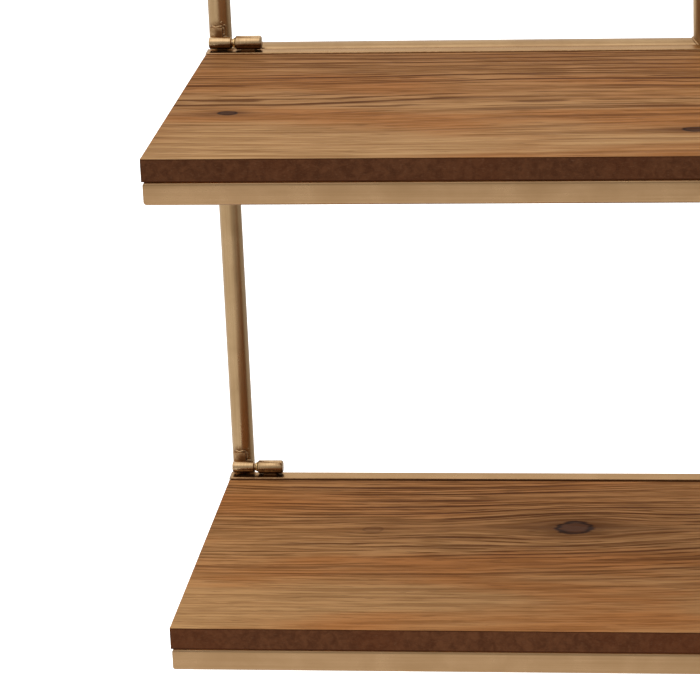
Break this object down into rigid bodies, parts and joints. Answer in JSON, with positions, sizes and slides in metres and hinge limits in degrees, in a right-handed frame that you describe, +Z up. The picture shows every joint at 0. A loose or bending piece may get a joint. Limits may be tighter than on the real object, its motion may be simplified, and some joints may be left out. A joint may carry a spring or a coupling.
{
  "type": "folding wall shelf",
  "caption": "Folding wall shelf: timber-faced boards on square-tube trays that hinge up on barrel hinges from a round-tube wall frame.",
  "frame": {"origin": "centre of the four wall screws, on the wall plane", "axes": "+X to the right seen from the room, +Y into the wall, +Z up"},
  "size_m": [0.6106, 0.2634, 0.6492],
  "materials": {
    "gold": "satin champagne gold",
    "timber": "matt oiled knotty timber",
    "core": "stained fibreboard edge",
    "steel": "ground",
    "screw": "zinc plated",
    "brass": "plain",
    "plug": "satin",
    "rubber": "matt"
  },
  "bodies": {
    "wall_frame": {"left_upright": "gold", "right_upright": "gold", "top_rail": "gold", "middle_rail": "gold", "bottom_rail": "gold", "centre_post": "gold", "hanger_tab_top_left": "gold", "hanger_tab_top_right": "gold", "hanger_tab_bottom_left": "gold", "hanger_tab_bottom_right": "gold", "upright_plugs": "plug", "wall_bumpers": "rubber", "upper_left_frame_barrel": "gold", "upper_right_frame_barrel": "gold", "lower_left_frame_barrel": "gold", "lower_right_frame_barrel": "gold", "upper_hinge_gussets": "gold", "lower_hinge_gussets": "gold", "upper_left_hinge_pin": "steel", "upper_right_hinge_pin": "steel", "lower_left_hinge_pin": "steel", "lower_right_hinge_pin": "steel", "upper_hinge_washers": "brass", "lower_hinge_washers": "brass"},
    "upper_shelf": {"upper_board_core": "core", "upper_top_face": "timber", "upper_bottom_face": "timber", "upper_front_rail": "gold", "upper_left_rail": "gold", "upper_right_rail": "gold", "upper_back_rail": "gold", "upper_rail_plugs": "plug", "upper_board_screws": "screw", "upper_left_tray_barrel": "gold", "upper_right_tray_barrel": "gold", "upper_barrel_legs": "gold"},
    "lower_shelf": {"lower_board_core": "core", "lower_top_face": "timber", "lower_bottom_face": "timber", "lower_front_rail": "gold", "lower_left_rail": "gold", "lower_right_rail": "gold", "lower_back_rail": "gold", "lower_rail_plugs": "plug", "lower_board_screws": "screw", "lower_left_tray_barrel": "gold", "lower_right_tray_barrel": "gold", "lower_barrel_legs": "gold"}
  },
  "joints": [
    {"name": "upper_shelf_fold", "type": "hinge", "parent": "wall_frame", "child": "upper_shelf", "pos_m": [0, -0.0203, 0.0288], "axis": [-1, 0, 0], "range_deg": [0, 90]},
    {"name": "lower_shelf_fold", "type": "hinge", "parent": "wall_frame", "child": "lower_shelf", "pos_m": [0, -0.0203, -0.2512], "axis": [-1, 0, 0], "range_deg": [0, 90]}
  ]
}
